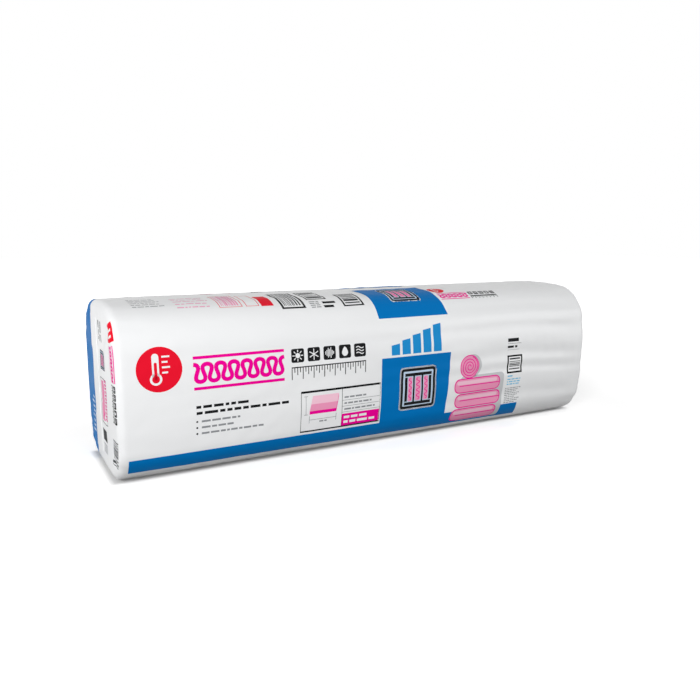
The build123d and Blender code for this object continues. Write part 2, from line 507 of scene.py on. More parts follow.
def convex_parts(outline):
    """A flat outline as counterclockwise convex parts."""
    if area(outline) < 0:
        outline = outline[::-1]
    turns = [
        (q[0] - p[0]) * (r[1] - q[1]) - (q[1] - p[1]) * (r[0] - q[0])
        for p, q, r in zip(outline, outline[1:] + outline[:1], outline[2:] + outline[:2])
    ]
    if min(turns) > -1e-9:
        return [outline]
    parts = [
        [outline[i] for i in triangle]
        for triangle in tessellate_polygon([[Vector((x, y, 0)) for x, y in outline]])
    ]
    return [part if area(part) > 0 else part[::-1] for part in parts]


class Print:
    """Inked shapes that lie on a patch of film, each layer a little above the one before it."""

    def __init__(self, patch, bend=None, mirrored=False):
        self.patch = patch
        self.bend = bend
        self.mirrored = mirrored
        self.points = []
        self.normals = []
        self.faces = []
        self.slots = []
        self.inks = []
        self.spots = {}
        self.lay_at(0, 0)

    def lay_at(self, across, up, turn=0.0, scale=1.0):
        """Sets where the next shapes' own origin lies, how they are turned and their scale."""
        self.origin = complex(across, 2 * TOP_MIDDLE - up if self.mirrored else up)
        self.turn = scale * complex(cos(turn), sin(turn))

    def on_film(self, at):
        """The place on the film of a shape's corner."""
        spot = complex(*at)
        spot = self.origin + self.turn * (spot.conjugate() if self.mirrored else spot)
        return self.bend(spot.real, spot.imag) if self.bend else (spot.real, spot.imag)

    def corner(self, at, cell, lower, layer):
        """The number of the film point at a flat place in one triangle of a cell."""
        key = (round(at[0], 3), round(at[1], 3), layer)
        if key not in self.spots:
            i, j = cell
            patch = self.patch
            s = (at[0] - patch.across[i]) / (patch.across[i + 1] - patch.across[i])
            t = (at[1] - patch.up[j]) / (patch.up[j + 1] - patch.up[j])
            if lower:
                weights = [(i, j, 1 - s), (i + 1, j, s - t), (i + 1, j + 1, t)]
            else:
                weights = [(i, j, 1 - t), (i + 1, j + 1, s), (i, j + 1, t - s)]
            point = sum(patch.points[m, n] * w for m, n, w in weights)
            normal = sum(patch.normals[m, n] * w for m, n, w in weights)
            normal = normal / np.linalg.norm(normal)
            inked = point + normal * (INK_LIFT + INK_STEP * layer)
            inked[2] = max(inked[2], 0)
            self.spots[key] = len(self.points)
            self.points.append(inked)
            self.normals.append(normal)
        return self.spots[key]

    def shape(self, ink, outline, layer=0):
        """Inks one outline, cut along the film's own facets so that it follows them."""
        if ink not in self.inks:
            self.inks.append(ink)
        for part in convex_parts([self.on_film(at) for at in outline]):
            if self.patch.outline:
                part = clipped(part, self.patch.outline)
            if not part:
                continue
            for cell, lower, facet in self.patch.facets(part):
                corners = clipped(facet, part)
                if area(corners) < SLIVER:
                    continue
                face = [self.corner(at, cell, lower, layer) for at in corners]
                face = [n for k, n in enumerate(face) if n != face[k - 1]]
                if len(set(face)) > 2:
                    self.faces.append(face[::-1] if self.patch.flip else face)
                    self.slots.append(self.inks.index(ink))

    def box(self, ink, left, low, right, high, layer=0):
        """Inks a rectangle."""
        self.shape(ink, box(left, low, right, high), layer)

    def piece(self, name, inks):
        """The finished print as an object."""
        materials = [inks[ink] for ink in self.inks]
        made = add_mesh(name, self.points, self.faces, materials, self.slots, self.normals)
        return carry(made)


def polar(centre, radius, angle):
    """The point at a distance and an angle from a centre."""
    return centre[0] + radius * cos(angle), centre[1] + radius * sin(angle)


def box(left, low, right, high):
    """A rectangle's outline."""
    return [(left, low), (right, low), (right, high), (left, high)]


def rounded(left, low, right, high, radius):
    """A rectangle with round corners."""
    inner = box(left + radius, low + radius, right - radius, high - radius)
    return [
        polar(centre, radius, pi / 2 * (quarter + i / CORNER_STEPS))
        for quarter, centre in enumerate(inner[2:] + inner[:2])
        for i in range(CORNER_STEPS + 1)
    ]


def disc(centre, radius):
    """A circle's outline."""
    return [polar(centre, radius, tau * i / DISC_STEPS) for i in range(DISC_STEPS)]


def capsule(start, stop, width):
    """A line with round ends, as one outline."""
    along = atan2(stop[1] - start[1], stop[0] - start[0])
    return [
        polar(centre, width / 2, first + pi * i / CAPSULE_STEPS)
        for centre, first in ((stop, along - pi / 2), (start, along + pi / 2))
        for i in range(CAPSULE_STEPS + 1)
    ]


def stroke(points, width):
    """A line of some width through points, as four-cornered lengths with mitred ends."""
    points = [Vector(p) for p in points]
    sides = []
    for i, point in enumerate(points):
        before = (point - points[i - 1]).normalized() if i else None
        after = (points[i + 1] - point).normalized() if i + 1 < len(points) else None
        along = ((before or after) + (after or before)).normalized()
        aside = Vector((-along.y, along.x))
        straight = after or before
        reach = width / 2 / max(0.3, aside.dot(Vector((-straight.y, straight.x))))
        sides.append((tuple(point + aside * reach), tuple(point - aside * reach)))
    return [[a[0], a[1], b[1], b[0]] for a, b in zip(sides, sides[1:])]


def line(ink, colour, points, width, layer=0):
    """Prints a line of some width."""
    for length in stroke(points, width):
        ink.shape(colour, length, layer)


def outlined(ink, colour, left, low, right, high, width):
    """Prints a rectangle's outline."""
    ink.box(colour, left, low, right, low + width)
    ink.box(colour, left, high - width, right, high)
    ink.box(colour, left, low + width, left + width, high - width)
    ink.box(colour, right - width, low + width, right, high - width)


def dashes(ink, colour, left, right, middle, height, seed, layer=0):
    """Prints a row of plain dashes of uneven lengths."""
    draw = np.random.default_rng(seed)
    at = left
    while at < right - height:
        length = min(height * draw.uniform(*DASH_LENGTHS), right - at)
        ink.box(colour, at, middle - height / 2, at + length, middle + height / 2, layer)
        at += length + DASH_GAP * height


def dash_rows(ink, colour, left, ends, first, pitch, height, seed, layer=0):
    """Prints one row of dashes to each of the ends, a pitch apart."""
    for row, right in enumerate(ends):
        dashes(ink, colour, left, right, first + pitch * row, height, seed + row, layer)


def bars(ink, colour, left, low, right, high, seed, upright=True):
    """Prints plain bars of uneven widths, side by side or one over the other."""
    draw = np.random.default_rng(seed)
    at, stop = (left, right) if upright else (low, high)
    whole = (stop - at) * (1.0 if upright else LYING_BARS)
    while at < stop:
        wide = min(whole * draw.choice(BAR_WIDTHS), stop - at)
        ink.shape(colour, box(at, low, at + wide, high) if upright else box(left, at, right, at + wide))
        at += wide + whole * draw.choice(BAR_GAPS)


def bar_box(ink, wide, high, frame_width, upright, seed):
    """Prints a thick frame round plain bars."""
    outlined(ink, "black", 0, 0, wide, high, frame_width)
    room = frame_width + 3
    bars(ink, "dark", room, room + 2, wide - room, high - room, seed, upright)


def batt_hatch(ink, wide, high, loops, width, lines=True):
    """Prints the looping line that stands for insulation on a building plan, between two straight ones."""
    border = 0.12 * high if lines else 0
    rise = high / 2 - border - width / 2 - (0.06 * high if lines else 0)
    pitch = wide / loops
    turns = np.linspace(0, tau * loops, 24 * loops + 1)
    curve = [(pitch * t / tau + 0.2 * pitch * sin(2 * t), high / 2 + rise * cos(t)) for t in turns]
    line(ink, "magenta", curve, width)
    if lines:
        ink.box("magenta", 0, 0, wide, border * 0.75)
        ink.box("magenta", 0, high - border * 0.75, wide, high)


def round_tag(ink):
    """Prints a plain round tag with a thermometer, 43 in radius."""
    bulb = (-7, -18)
    ink.shape("red", disc((0, 0), 43))
    ink.shape("white", capsule((-7, -17), (-7, 24), 13), 1)
    ink.shape("white", disc(bulb, 11.5), 1)
    ink.shape("red", capsule((-7, -17), (-7, 11), 5.5), 2)
    ink.shape("red", disc(bulb, 7.2), 2)
    for mark in range(4):
        low = 22 - 10 * mark
        ink.box("white", 5, low, 20 - 4 * (mark % 2), low + 3.5, 1)


def symbol_tiles(ink, size, pitch):
    """Prints a row of tiles, drawn 28 wide, with plain symbols for heat, cold, sound, water and air."""
    k = size / 28
    middle = (14, 14)

    def on_tile(tile, outline, colour="white", layer=1):
        ink.shape(colour, [(tile * pitch + k * x, k * y) for x, y in outline], layer)

    for tile in range(5):
        on_tile(tile, rounded(0, 0, 28, 28, 3.92), "black", 0)
    on_tile(0, disc(middle, 5.2))
    for ray in range(8):
        angle = tau * ray / 8
        on_tile(0, capsule(polar(middle, 7.5, angle), polar(middle, 11, angle), 1.9))
    for arm in range(3):
        angle = pi * arm / 3 + pi / 6
        on_tile(1, capsule(polar(middle, -10.5, angle), polar(middle, 10.5, angle), 1.9), "white", 1 + arm)
    for bar, high in enumerate((5, 11, 18, 13, 20, 9, 4)):
        at = 5 + 3 * bar
        on_tile(2, capsule((at, 14 - high / 2), (at, 14 + high / 2), 1.8))
    round_half = [polar((14, 11.5), 7, t) for t in np.linspace(pi, tau, 19)[1:-1]]
    turns = np.linspace(0, pi, 19)
    point_half = [(14 + 7 * cos(t) * sqrt(1 - sin(t) ** 2 * 0.8), 11.5 + 12.5 * sin(t)) for t in turns]
    on_tile(3, point_half + round_half)
    for wave in range(3):
        points = [(5 + 18 * i / 12, 8 + 6 * wave + 1.8 * sin(tau * i / 12)) for i in range(13)]
        for length in stroke(points, 1.9):
            on_tile(4, length)


def tape_scale(ink, wide, high):
    """Prints the edge of a measuring tape, with plain ticks of three lengths."""
    ink.box("black", 0, high - 2.4, wide, high)
    count = 28
    for tick in range(count + 1):
        reach = high * (0.95 if tick % 4 == 0 else 0.62 if tick % 2 == 0 else 0.42)
        middle = 0.9 + (wide - 1.8) * tick / count
        ink.box("black", middle - 0.9, high - reach, middle + 0.9, high - 2.4)


def wall_picture(ink):
    """Prints a square picture, 100 wide, of a stud wall with pink batts between its studs."""
    ink.shape("white", rounded(0, 0, 100, 100, 9), 1)
    ink.shape("black", rounded(3.5, 3.5, 96.5, 96.5, 7), 2)
    ink.shape("pale", rounded(9.5, 9.5, 90.5, 90.5, 3), 3)
    for low in (12, 79):
        ink.box("black", 14, low, 86, low + 7, 4)
    for left in (14, 79):
        ink.box("black", left, 21, left + 7, 77, 4)
    for left in (36, 59):
        ink.box("black", left, 19, left + 4.5, 79, 4)
    for left, right in ((23, 34), (42.5, 57), (65.5, 77)):
        ink.shape("pink", rounded(left, 21, right, 77, 3), 4)
        middle = (left + right) / 2
        reach = (right - left) * 0.3
        points = [(middle + reach * sin(tau * 4 * i / 48), 24 + 50 * i / 48) for i in range(49)]
        line(ink, "magenta", points, 1.8, 5)


def rising_bars(ink):
    """Prints five bars that grow from left to right."""
    wide, high = 138, 62
    for bar in range(5):
        left = bar * wide / 4.78
        right = left + wide * 0.162
        top = high * (0.36 + 0.16 * bar)
        ink.shape("sky", [(left, 0), (right, 0), (right, top + 3.5), (left, top)])


def folded_batt(ink, left, low):
    """Prints one folded batt, seen from its side, with its fold at the left."""
    right, high, edge = left + 142, 36, 2.52
    top = low + high
    fold = (left + 0.45 * high, low + high / 2)
    ink.shape("magenta", rounded(left, low, right, top, 0.42 * high), 3)
    ink.shape("pink", rounded(left + edge, low + edge, right - edge, top - edge, 0.37 * high), 4)
    shine = (left + 3 * edge, low + 0.58 * high, right - 4 * edge, top - 2.4 * edge)
    ink.shape("rose", rounded(*shine, 0.12 * high), 5)
    ink.shape("magenta", capsule(fold, (right - edge, fold[1]), 0.9 * edge), 6)


def batt_picture(ink):
    """Prints a stack of folded pink batts with a rolled one on top."""
    ink.shape("shade", rounded(20, -2, 156, 118, 10), 2)
    for row, shift in enumerate((0, 7, 2)):
        folded_batt(ink, shift, 38 * row)
    middle = (46, 140)
    ink.shape("shade", disc((54, 141), 29), 2)
    ink.shape("magenta", disc(middle, 29), 3)
    ink.shape("pink", disc(middle, 26.8), 4)
    line(ink, "magenta", [polar(middle, 3 + 1.12 * t, t) for t in np.linspace(0, 3.2 * tau, 80)], 2.2, 5)


def batt_panel(ink):
    """Prints a framed panel: a batt with its dimension lines at the left, ruled rows at the right."""
    wide, high, split_at = 196, 92, 98
    ink.box("black", 0, high - 4.6, wide, high)
    ink.box("black", 0, 0, wide, 3.4)
    for left in (0, split_at, wide - 1):
        ink.box("black", left, 3.4, left + 1, high - 4.6)
    for row in range(3):
        low = 34.5 + 13.5 * row
        ink.box("grey", split_at + 1, low, wide - 1, low + 0.9)
    dash_rows(ink, "grey", split_at + 6, (182, 173, 164), 41.4, 13.5, 3.6, 31)
    ink.box("magenta", split_at + 1, 3.4, wide - 1, 31)
    dash_rows(ink, "white", split_at + 6, (162, 184), 22.5, -11, 5.6, 35, 1)
    ink.shape("pink", [(20, 47), (84, 47), (90, 80), (28, 80)])
    ink.shape("rose", [(24, 62), (87, 62), (90, 80), (28, 80)], 1)
    ink.box("magenta", 20, 40, 84, 47)
    ink.shape("magenta", [(84, 40), (90, 73), (90, 80), (84, 47)])
    ink.box("grey", 20, 27, 84, 28)
    for tip in (20, 84):
        ink.box("grey", tip - 0.5, 20, tip + 0.5, 36)
    ink.box("grey", 11, 40, 12, 80)
    for tip in (40, 80):
        ink.box("grey", 7, tip - 0.5, 16, tip + 0.5)
    dashes(ink, "grey", 44, 62, 22, 3.2, 38)


def side_layout(ink):
    """Prints one long side of the bag."""
    ink.shape("white", [(-41, -117), (151, -117), (158, -3), (160, 37.5), (-41, 37.5)])
    ink.shape("blue", [(-586, -152), (385, -157), (378, -117), (-586, -117)], 1)
    ink.shape("blue", [(-35.5, -118), (147.5, -118), (153.7, -3), (155.5, 33), (-35.5, 33)], 1)
    ink.lay_at(-524, 55)
    round_tag(ink)
    ink.lay_at(-460, 8)
    batt_hatch(ink, 189, 66, 7, 8.2)
    ink.lay_at(-255, 43)
    symbol_tiles(ink, 29, 37.2)
    ink.lay_at(-255, 6)
    tape_scale(ink, 178, 28)
    ink.lay_at(0, 0)
    dash_rows(ink, "black", -457, (-350, -262), -26, -12, 5.6, 11)
    for row in range(3):
        ink.shape("black", disc((-456, -55 - 12.4 * row), 2))
    dash_rows(ink, "grey", -447, (-368, -382, -318), -55, -12.4, 4.0, 13)
    ink.lay_at(-234, -112)
    batt_panel(ink)
    ink.lay_at(-10, 38)
    rising_bars(ink)
    ink.lay_at(13, -95, scale=1.02)
    wall_picture(ink)
    ink.lay_at(168, -148)
    batt_picture(ink)
    ink.lay_at(0, 0)
    dashes(ink, "black", 333, 377, 47.6, 8.6, 42)
    ink.box("black", 333, 38.2, 377, 39)
    dashes(ink, "black", 333, 372, 30.5, 5.4, 43)
    ink.box("grey", 333, 22.5, 372, 23.2)
    dashes(ink, "cyan", 336, 354, -44, 3.4, 51)
    dash_rows(ink, "cyan", 336, (380, 378, 376), -52.5, -6.4, 3.2, 52)
    dash_rows(ink, "grey", 333, 3 * (384, 377, 370), -76, -4.7, 2.0, 60)
    ink.lay_at(333.5, -37)
    bar_box(ink, 49, 46, 4.4, False, 46)


def top_layout(ink):
    """Prints one half of the top panel, and of the band that runs over it."""
    ink.lay_at(0, 0)
    low, high = 122.5, 267.0
    edge = [(155 - 7 * swell(v - low, 70), v) for v in np.linspace(low, high, 12)]
    keyline = [(a + 5, v) for a, v in edge]
    ink.shape("white", [(-41, low - 5), (160, low - 5), *keyline, (153, high + 5), (-41, high + 5)])
    ink.shape("blue", [(-35, low), *edge, (-35, high)], 1)
    lower = HIDDEN_DROP if ink.mirrored else 0
    ink.lay_at(0, -lower)
    dash_rows(ink, "grey", -553, 2 * (-492, -497, -502), 198, 13, 3.0, 70)
    dash_rows(ink, "pink", -470, (-400, -406, -400, -406, -400), 186, 17, 3.4, 80)
    outlined(ink, "red", -386, 178, -338, 266, 1.4)
    outlined(ink, "red", -330, 178, -302, 258, 1.4)
    bars(ink, "pink", -381, 184, -343, 260, 87)
    ink.box("red", -297, 176, -270, 240)
    dash_rows(ink, "grey", -187, 4 * (-164,), 164, 6.4, 3.0, 95)
    dashes(ink, "black", -157, -123, 165, 7.6, 99)
    dashes(ink, "black", -156, -125, 178.5, 7.6, 100)
    ink.lay_at(-255, 163 - lower)
    bar_box(ink, 55, 104, 5.0, True, 90)
    outlined(ink, "black", 67, 30, 115, 105, 3.2)
    bars(ink, "dark", 73, 38, 109, 99, 91, False)
    ink.lay_at(-109, 161 - lower)
    bar_box(ink, 51, 63, 4.2, False, 92)
    ink.lay_at(16, 166 - lower, scale=0.84)
    wall_picture(ink)
    ink.lay_at(172, 216 - lower, scale=21 / 43)
    round_tag(ink)
    ink.lay_at(158, 165 - lower)
    batt_hatch(ink, 86, 27, 5, 4.6)
    ink.lay_at(250, 179 - lower)
    symbol_tiles(ink, 13, 17.3)
    ink.lay_at(250, 163 - lower)
    tape_scale(ink, 82, 12)


def on_end_by_rim(out, up):
    """y and z on the made end of a place given from where the front panel's rim starts, and its height."""
    return float(np.interp(up, RIM_FOOT[FRONT_HALF, 1], RIM_FOOT[FRONT_HALF, 0])) - out, up


def on_rim(out, up):
    """a and v on the made end's front rim of a place given in the same way."""
    return -RIM_ARC + out, float(np.interp(up, RIM_FOOT[FRONT_HALF, 1], SECTION_V[FRONT_HALF]))


def edge_tag(ink, left, right):
    """Prints the part of a red tag, with two lines on it, that lies on one side of where the rim starts."""
    ink.box("red", left, 280, right, 309)
    for low in (287, 297):
        ink.box("white", left, low, right - 5, low + 4, 1)


def rim_tag(ink):
    """Prints the part of the red tag that lies on the front rim."""
    edge_tag(ink, 0, 14)


def edge_column(ink):
    """Prints the column that runs down the made end's front edge, over its rim."""
    ink.lay_at(-17, 274, DOWN)
    batt_hatch(ink, 67, 26, 5, 4.4)
    ink.lay_at(-5, 202, DOWN)
    symbol_tiles(ink, 13, 15)
    ink.lay_at(-19, 202, DOWN)
    tape_scale(ink, 73, 11)
    ink.lay_at(-26, 94, DOWN)
    bars(ink, "dark", 0, 0, 55, 34, 131)


def end_layout(ink):
    """Prints the rest of the made end's panel, over y and z: a blue field and a column of upright rows."""
    edge_tag(ink, -DEPTH / 2, -128)
    ink.box("blue", 67, 0, DEPTH, HEIGHT)
    dash_rows(ink, "pale", 76, [108 - 5 * (row % 3) for row in range(8)], 58, 10.5, 5, 120, 1)
    ink.box("black", -58, 66, -18, 90)
    dash_rows(ink, "grey", -56, 4 * (-20,), 58, -5, 2.4, 140)
    ink.lay_at(-57, 310, DOWN)
    dash_rows(ink, "dark", 0, (48, 43, 38), 3, 14, 4.6, 133)
    ink.lay_at(-74, 213, scale=0.42)
    wall_picture(ink)
    ink.lay_at(-72, 196, DOWN)
    outlined(ink, "dark", 0, 0, 92, 52, 1.6)
    batt_hatch(ink, 84, 19, 6, 3.0, False)
    ink.box("pink", 5, 24, 86, 46)
    ink.box("magenta", 5, 24, 86, 28, 1)


def rim_layout(ink):
    """Carries the made end's blue field on round the back of its rim."""
    ink.box("blue", -RIM_ARC, 363, -STRAIGHT, FLOOR_BACK - 67)


# Materials


def node(tree, kind, settings=None, feeds=(), **links):
    """Adds a node, sets its values and ties other nodes' outputs to its inputs, in their order or by name."""
    made = tree.nodes.new("ShaderNode" + kind)
    for name, value in (settings or {}).items():
        if name in made.inputs:
            made.inputs[name].default_value = value
        else:
            setattr(made, name, value)
    for place, source in enumerate(feeds):
        tree.links.new(source, made.inputs[place])
    for name, source in links.items():
        tree.links.new(source, made.inputs[name.replace("_", " ")])
    return made


def empty_tree(holder):
    """The node tree of a material or a world, with nothing in it."""
    holder.use_nodes = True
    holder.node_tree.nodes.clear()
    return holder.node_tree


def new_material(name):
    """A material and its empty node tree."""
    material = bpy.data.materials.new(name)
    return material, empty_tree(material)


def principled(tree, values, **links):
    """Adds the shader, whose own sockets hold the constant values, and the material's output."""
    shader = node(tree, "BsdfPrincipled", values, **links)
    node(tree, "OutputMaterial", Surface=shader.outputs["BSDF"])


def noise(tree, sizes, settings):
    """A random pattern in the object's own space, whose patches have these sizes in mm along x, y and z."""
    place = node(tree, "TexCoord").outputs["Object"]
    per_metre = [1 / (size * MM) for size in sizes]
    fitted = node(tree, "Mapping", {"Scale": per_metre}, Vector=place)
    return node(tree, "TexNoise", {"Scale": 1.0, **settings}, Vector=fitted.outputs["Vector"])


def bump(tree, pattern, strength, depth, **links):
    """Raises a surface with a pattern, by a depth in millimetres."""
    values = {"Strength": strength, "Distance": depth * MM}
    return node(tree, "Bump", values, Height=pattern.outputs["Fac"], **links)


def film_finish(tree, roughness, spread):
    """Blown film: die lines along the bag, a faint crinkle, and gloss that comes and goes with it.

    Real die lines are well under a millimetre apart. Here they are 9 mm apart and 120 mm long, so that
    they show.
    """
    lines = noise(tree, (120, 9, 9), {"Detail": 1.0})
    crinkle = noise(tree, (45, 45, 45), {"Detail": 1.5})
    span = {"To Min": roughness - spread, "To Max": roughness + spread}
    gloss = node(tree, "MapRange", span, Value=crinkle.outputs["Fac"])
    fine = bump(tree, lines, 0.3, 0.3)
    soft = bump(tree, crinkle, 0.12, 1.2, Normal=fine.outputs["Normal"])
    return {"Roughness": gloss.outputs["Result"], "Normal": soft.outputs["Normal"]}


def white_film(colour):
    """Opaque white polyethylene, blown film: slightly milky, with a satin gloss."""
    material, tree = new_material("polyethylene_blown_white")
    cloud = noise(tree, (200, 200, 200), {"Detail": 3.0})
    tint = node(tree, "Mix", {"data_type": "RGBA"}, Factor=cloud.outputs["Fac"])
    darker, lighter = tint.inputs[6], tint.inputs[7]  # the node's two colours
    darker.default_value = (*(c * 0.955 for c in colour), 1)
    lighter.default_value = (*colour, 1)
    values = {"IOR": 1.5, "Specular IOR Level": 0.3}
    principled(tree, values, Base_Color=tint.outputs[2], **film_finish(tree, 0.3, 0.04))
    return material


def printed_ink(name, colour):
    """Flexographic ink on polyethylene: a flat, even colour that keeps the film's gloss and crinkle."""
    values = {"IOR": 1.5, "Base Color": (*colour, 1), "Specular IOR Level": 0.05}
    material, tree = new_material(f"flexo_ink_{name}")
    principled(tree, values, **film_finish(tree, 0.5, 0.06))
    return material


def inks(settings):
    """The ink materials by name, made once."""
    if "inks" not in SHARED:
        names = PrintSettings.__annotations__
        SHARED["inks"] = {name: printed_ink(name, getattr(settings, name)) for name in names}
    return SHARED["inks"]


def fibrous(name, colours, sizes, pattern, roughness, strength, depth):
    """A matt surface of fibres, lighter where they stand out."""
    material, tree = new_material(name)
    fibre = noise(tree, sizes, pattern)
    ramp = node(tree, "ValToRGB", Fac=fibre.outputs["Fac"])
    for stop, colour in zip(ramp.color_ramp.elements, colours):
        stop.color = (*colour, 1)
    raised = bump(tree, fibre, strength, depth)
    links = {"Base Color": ramp.outputs["Color"], "Normal": raised.outputs["Normal"]}
    principled(tree, {"Roughness": roughness}, **links)
    return material


def kraft_paper(settings):
    """Kraft paper, asphalt-coated and calendered: warm brown with fine fibres and no gloss.

    The fibres are drawn 11 mm long and 1.4 mm apart, coarser than the real ones, so that they show.
    """
    colours = (settings.kraft_dark, settings.kraft_light)
    return fibrous("kraft_paper_calendered", colours, (11.11, 1.43, 1.43), {"Detail": 6.0}, 0.82, 0.3, 0.3)


def glass_wool(settings):
    """Glass wool, fiberised and bonded: pale yellow, made of fine tangled fibres that scatter the light.

    The tufts are drawn 6 mm long and 1.7 mm apart, coarser than the real fibres, so that they show.
    """
    colours = (settings.wool_dark, settings.wool_light)
    pattern = {"Detail": 8.0, "Distortion": 1.5}
    return fibrous("glass_wool_bonded", colours, (6.25, 6.25, 1.667), pattern, 0.95, 0.8, 1.0)


# Settings


def colour_setting(name, description, colour):
    """A setting that holds a colour, given as sRGB hex."""
    return bpy.props.FloatVectorProperty(
        name=name, description=description, subtype="COLOR", size=3, min=0, max=1, default=linear(colour)
    )


def size_setting(name, description, size):
    """A setting that holds a length, given in millimetres."""
    return bpy.props.FloatProperty(
        name=name, description=description, default=size * MM, min=0, precision=4, unit="LENGTH"
    )


def power_setting(name, description, power):
    """A setting that holds a lamp's power in watts."""
    return bpy.props.FloatProperty(name=name, description=description, default=power, min=0, unit="POWER")


class FilmSettings(bpy.types.PropertyGroup):
    """The film bag's colour and sizes."""

    film_colour: colour_setting("Film colour", "Colour of the bare film", "#F1F2F3")
    ridge_strength: bpy.props.FloatProperty(
        name="Ridges", description="How strongly the layers of batts show through", default=1.0, min=0,
        subtype="FACTOR",
    )
    pucker_depth: size_setting("Pucker depth", "Depth of the puckers near both ends", 1.2)
    weld_width: size_setting("Weld width", "Width of the weld across the made end", 5.0)
    fin_width: size_setting("Fin width", "Width of the heat-sealed fin across the closed end", 27.0)
    seal_thickness: size_setting("Seal thickness", "Rise of the weld and the fin inside their edges", 1.1)


class PrintSettings(bpy.types.PropertyGroup):
    """The colours of the inks."""

    blue: colour_setting("Blue", "Ink of the stripe, the band and the made end", "#0073BC")
    sky: colour_setting("Sky blue", "Ink of the rising bars", "#1F8FD2")
    magenta: colour_setting("Magenta", "Ink of the insulation line and the batts' outlines", "#F00096")
    red: colour_setting("Red", "Ink of the tags", "#E8142E")
    pink: colour_setting("Pink", "Ink of the batts", "#F29BBF")
    rose: colour_setting("Rose", "Ink of the batts' light parts", "#F9C9DB")
    black: colour_setting("Black", "Ink of the tiles, the tape and the frames", "#17181A")
    grey: colour_setting("Grey", "Ink of the small rows and rules", "#8E9194")
    pale: colour_setting("Pale blue", "Ink of the rows on blue and of the wall's ground", "#C3D6EA")
    cyan: colour_setting("Cyan", "Ink of the small rows at the right", "#7CC3E4")
    white: colour_setting("White", "Ink of the keylines and symbols", "#F1F2F3")
    dark: colour_setting("Dark grey", "Ink of the narrow bars", "#3A3C3F")
    shade: colour_setting("Shade", "Ink of the shadow behind the stack of batts", "#C9CBCE")


class BattSettings(bpy.types.PropertyGroup):
    """The batts' colours."""

    kraft_dark: colour_setting("Kraft, dark", "Darker fibres of the paper", "#9C7448")
    kraft_light: colour_setting("Kraft, light", "Lighter fibres of the paper", "#C39A69")
    wool_dark: colour_setting("Wool, dark", "Darker fibres of the glass wool", "#D9B85C")
    wool_light: colour_setting("Wool, light", "Lighter fibres of the glass wool", "#F6E7A6")


class StageSettings(bpy.types.PropertyGroup):
    """The studio and its camera."""

    key_power: power_setting("Key light", "Power of the soft light at the front left", 84.0)
    key_size: size_setting("Key light's size", "Its diameter", 1600.0)
    fill_power: power_setting("Fill light", "Power of the soft light at the front right", 56.0)
    fill_size: size_setting("Fill light's size", "Its diameter", 2600.0)
    end_power: power_setting("End light", "Power of the soft light at the left end", 6.5)
    end_size: size_setting("End light's size", "Its diameter", 1500.0)
    sky_strength: bpy.props.FloatProperty(
        name="Surroundings", description="Strength of the even light from all round", default=0.3, min=0
    )
    paper_colour: colour_setting("Paper", "Colour of the floor", "#F6F6F6")
    lens: bpy.props.FloatProperty(
        name="Lens", description="Focal length on a 36 mm sensor", default=34.39, min=1, unit="CAMERA"
    )


# The stage


def seen_or_mirrored(tree):
    """1 for rays that show the stage itself: to the camera, in a reflection or through glass."""
    path = node(tree, "LightPath")
    kinds = ("Camera", "Glossy", "Transmission")
    seen, mirrored, through = (path.outputs[f"Is {kind} Ray"] for kind in kinds)
    first = node(tree, "Math", {"operation": "MAXIMUM"}, (seen, mirrored))
    return node(tree, "Math", {"operation": "MAXIMUM"}, (first.outputs[0], through)).outputs[0]


def glow_round_painted_shade(tree):
    """How much glow the paper adds: none under the bag, which leaves painted shade round its foot, a little
    beside it, more far away.
    """
    place = node(tree, "TexCoord").outputs["Object"]
    folded = node(tree, "VectorMath", {"operation": "ABSOLUTE"}, (place,))
    beyond = node(tree, "VectorMath", {"operation": "SUBTRACT"}, (folded.outputs[0],))
    beyond.inputs[1].default_value = PAINTED_SHADE_FOOTPRINT
    outside = node(tree, "VectorMath", {"operation": "MAXIMUM"}, (beyond.outputs[0],))
    away = node(tree, "VectorMath", {"operation": "LENGTH"}, (outside.outputs[0],))
    far = away.outputs["Value"]
    beside = node(tree, "MapRange", {"From Max": PAINTED_SHADE_REACH, "To Max": GLOW}, Value=far)
    span = {"From Min": FAR_START, "From Max": FAR_STOP, "To Max": GLOW}
    remote = node(tree, "MapRange", span, Value=far)
    total = node(tree, "Math", {"operation": "ADD"}, (beside.outputs[0], remote.outputs[0]))
    return total.outputs[0]


def floor_sheet(colour):
    """A wide white floor that keeps the bag's shadow, with painted shade round the bag's foot where it
    withholds its glow, and otherwise shows as white paper.
    """
    material, tree = new_material("studio_paper_rolled")
    shown = node(tree, "BsdfDiffuse", {"Color": (*colour, 1)})
    # The paper's glow, withheld round the bag's foot so that painted shade stays there.
    glow = node(tree, "Emission", {"Color": (1, 1, 1, 1)}, Strength=glow_round_painted_shade(tree))
    white = node(tree, "AddShader", None, (shown.outputs[0], glow.outputs[0]))
    # Painted shade: rays bouncing to the bag find the floor dark grey, so its lower curve darkens.
    dim = node(tree, "BsdfDiffuse", {"Color": (*linear(PAINTED_SHADE_BOUNCE), 1)})
    feeds = (seen_or_mirrored(tree), dim.outputs[0], white.outputs[0])
    both = node(tree, "MixShader", None, feeds)
    node(tree, "OutputMaterial", Surface=both.outputs[0])
    corners = [(x, y, 0) for x, y in box(-FLOOR_REACH, -FLOOR_REACH, FLOOR_REACH, FLOOR_REACH)]
    floor = add_mesh("studio_floor", corners, [(0, 1, 2, 3)], [material])
    floor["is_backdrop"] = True


def surroundings(scene, strength):
    """Even light from all round, which shows as plain white."""
    world = bpy.data.worlds.new("studio")
    tree = empty_tree(world)
    scene.world = world
    span = {"To Min": strength, "To Max": 1.0}
    level = node(tree, "MapRange", span, Value=seen_or_mirrored(tree))
    sky = node(tree, "Background", {"Color": (1, 1, 1, 1)}, Strength=level.outputs["Result"])
    node(tree, "OutputWorld", Surface=sky.outputs[0])


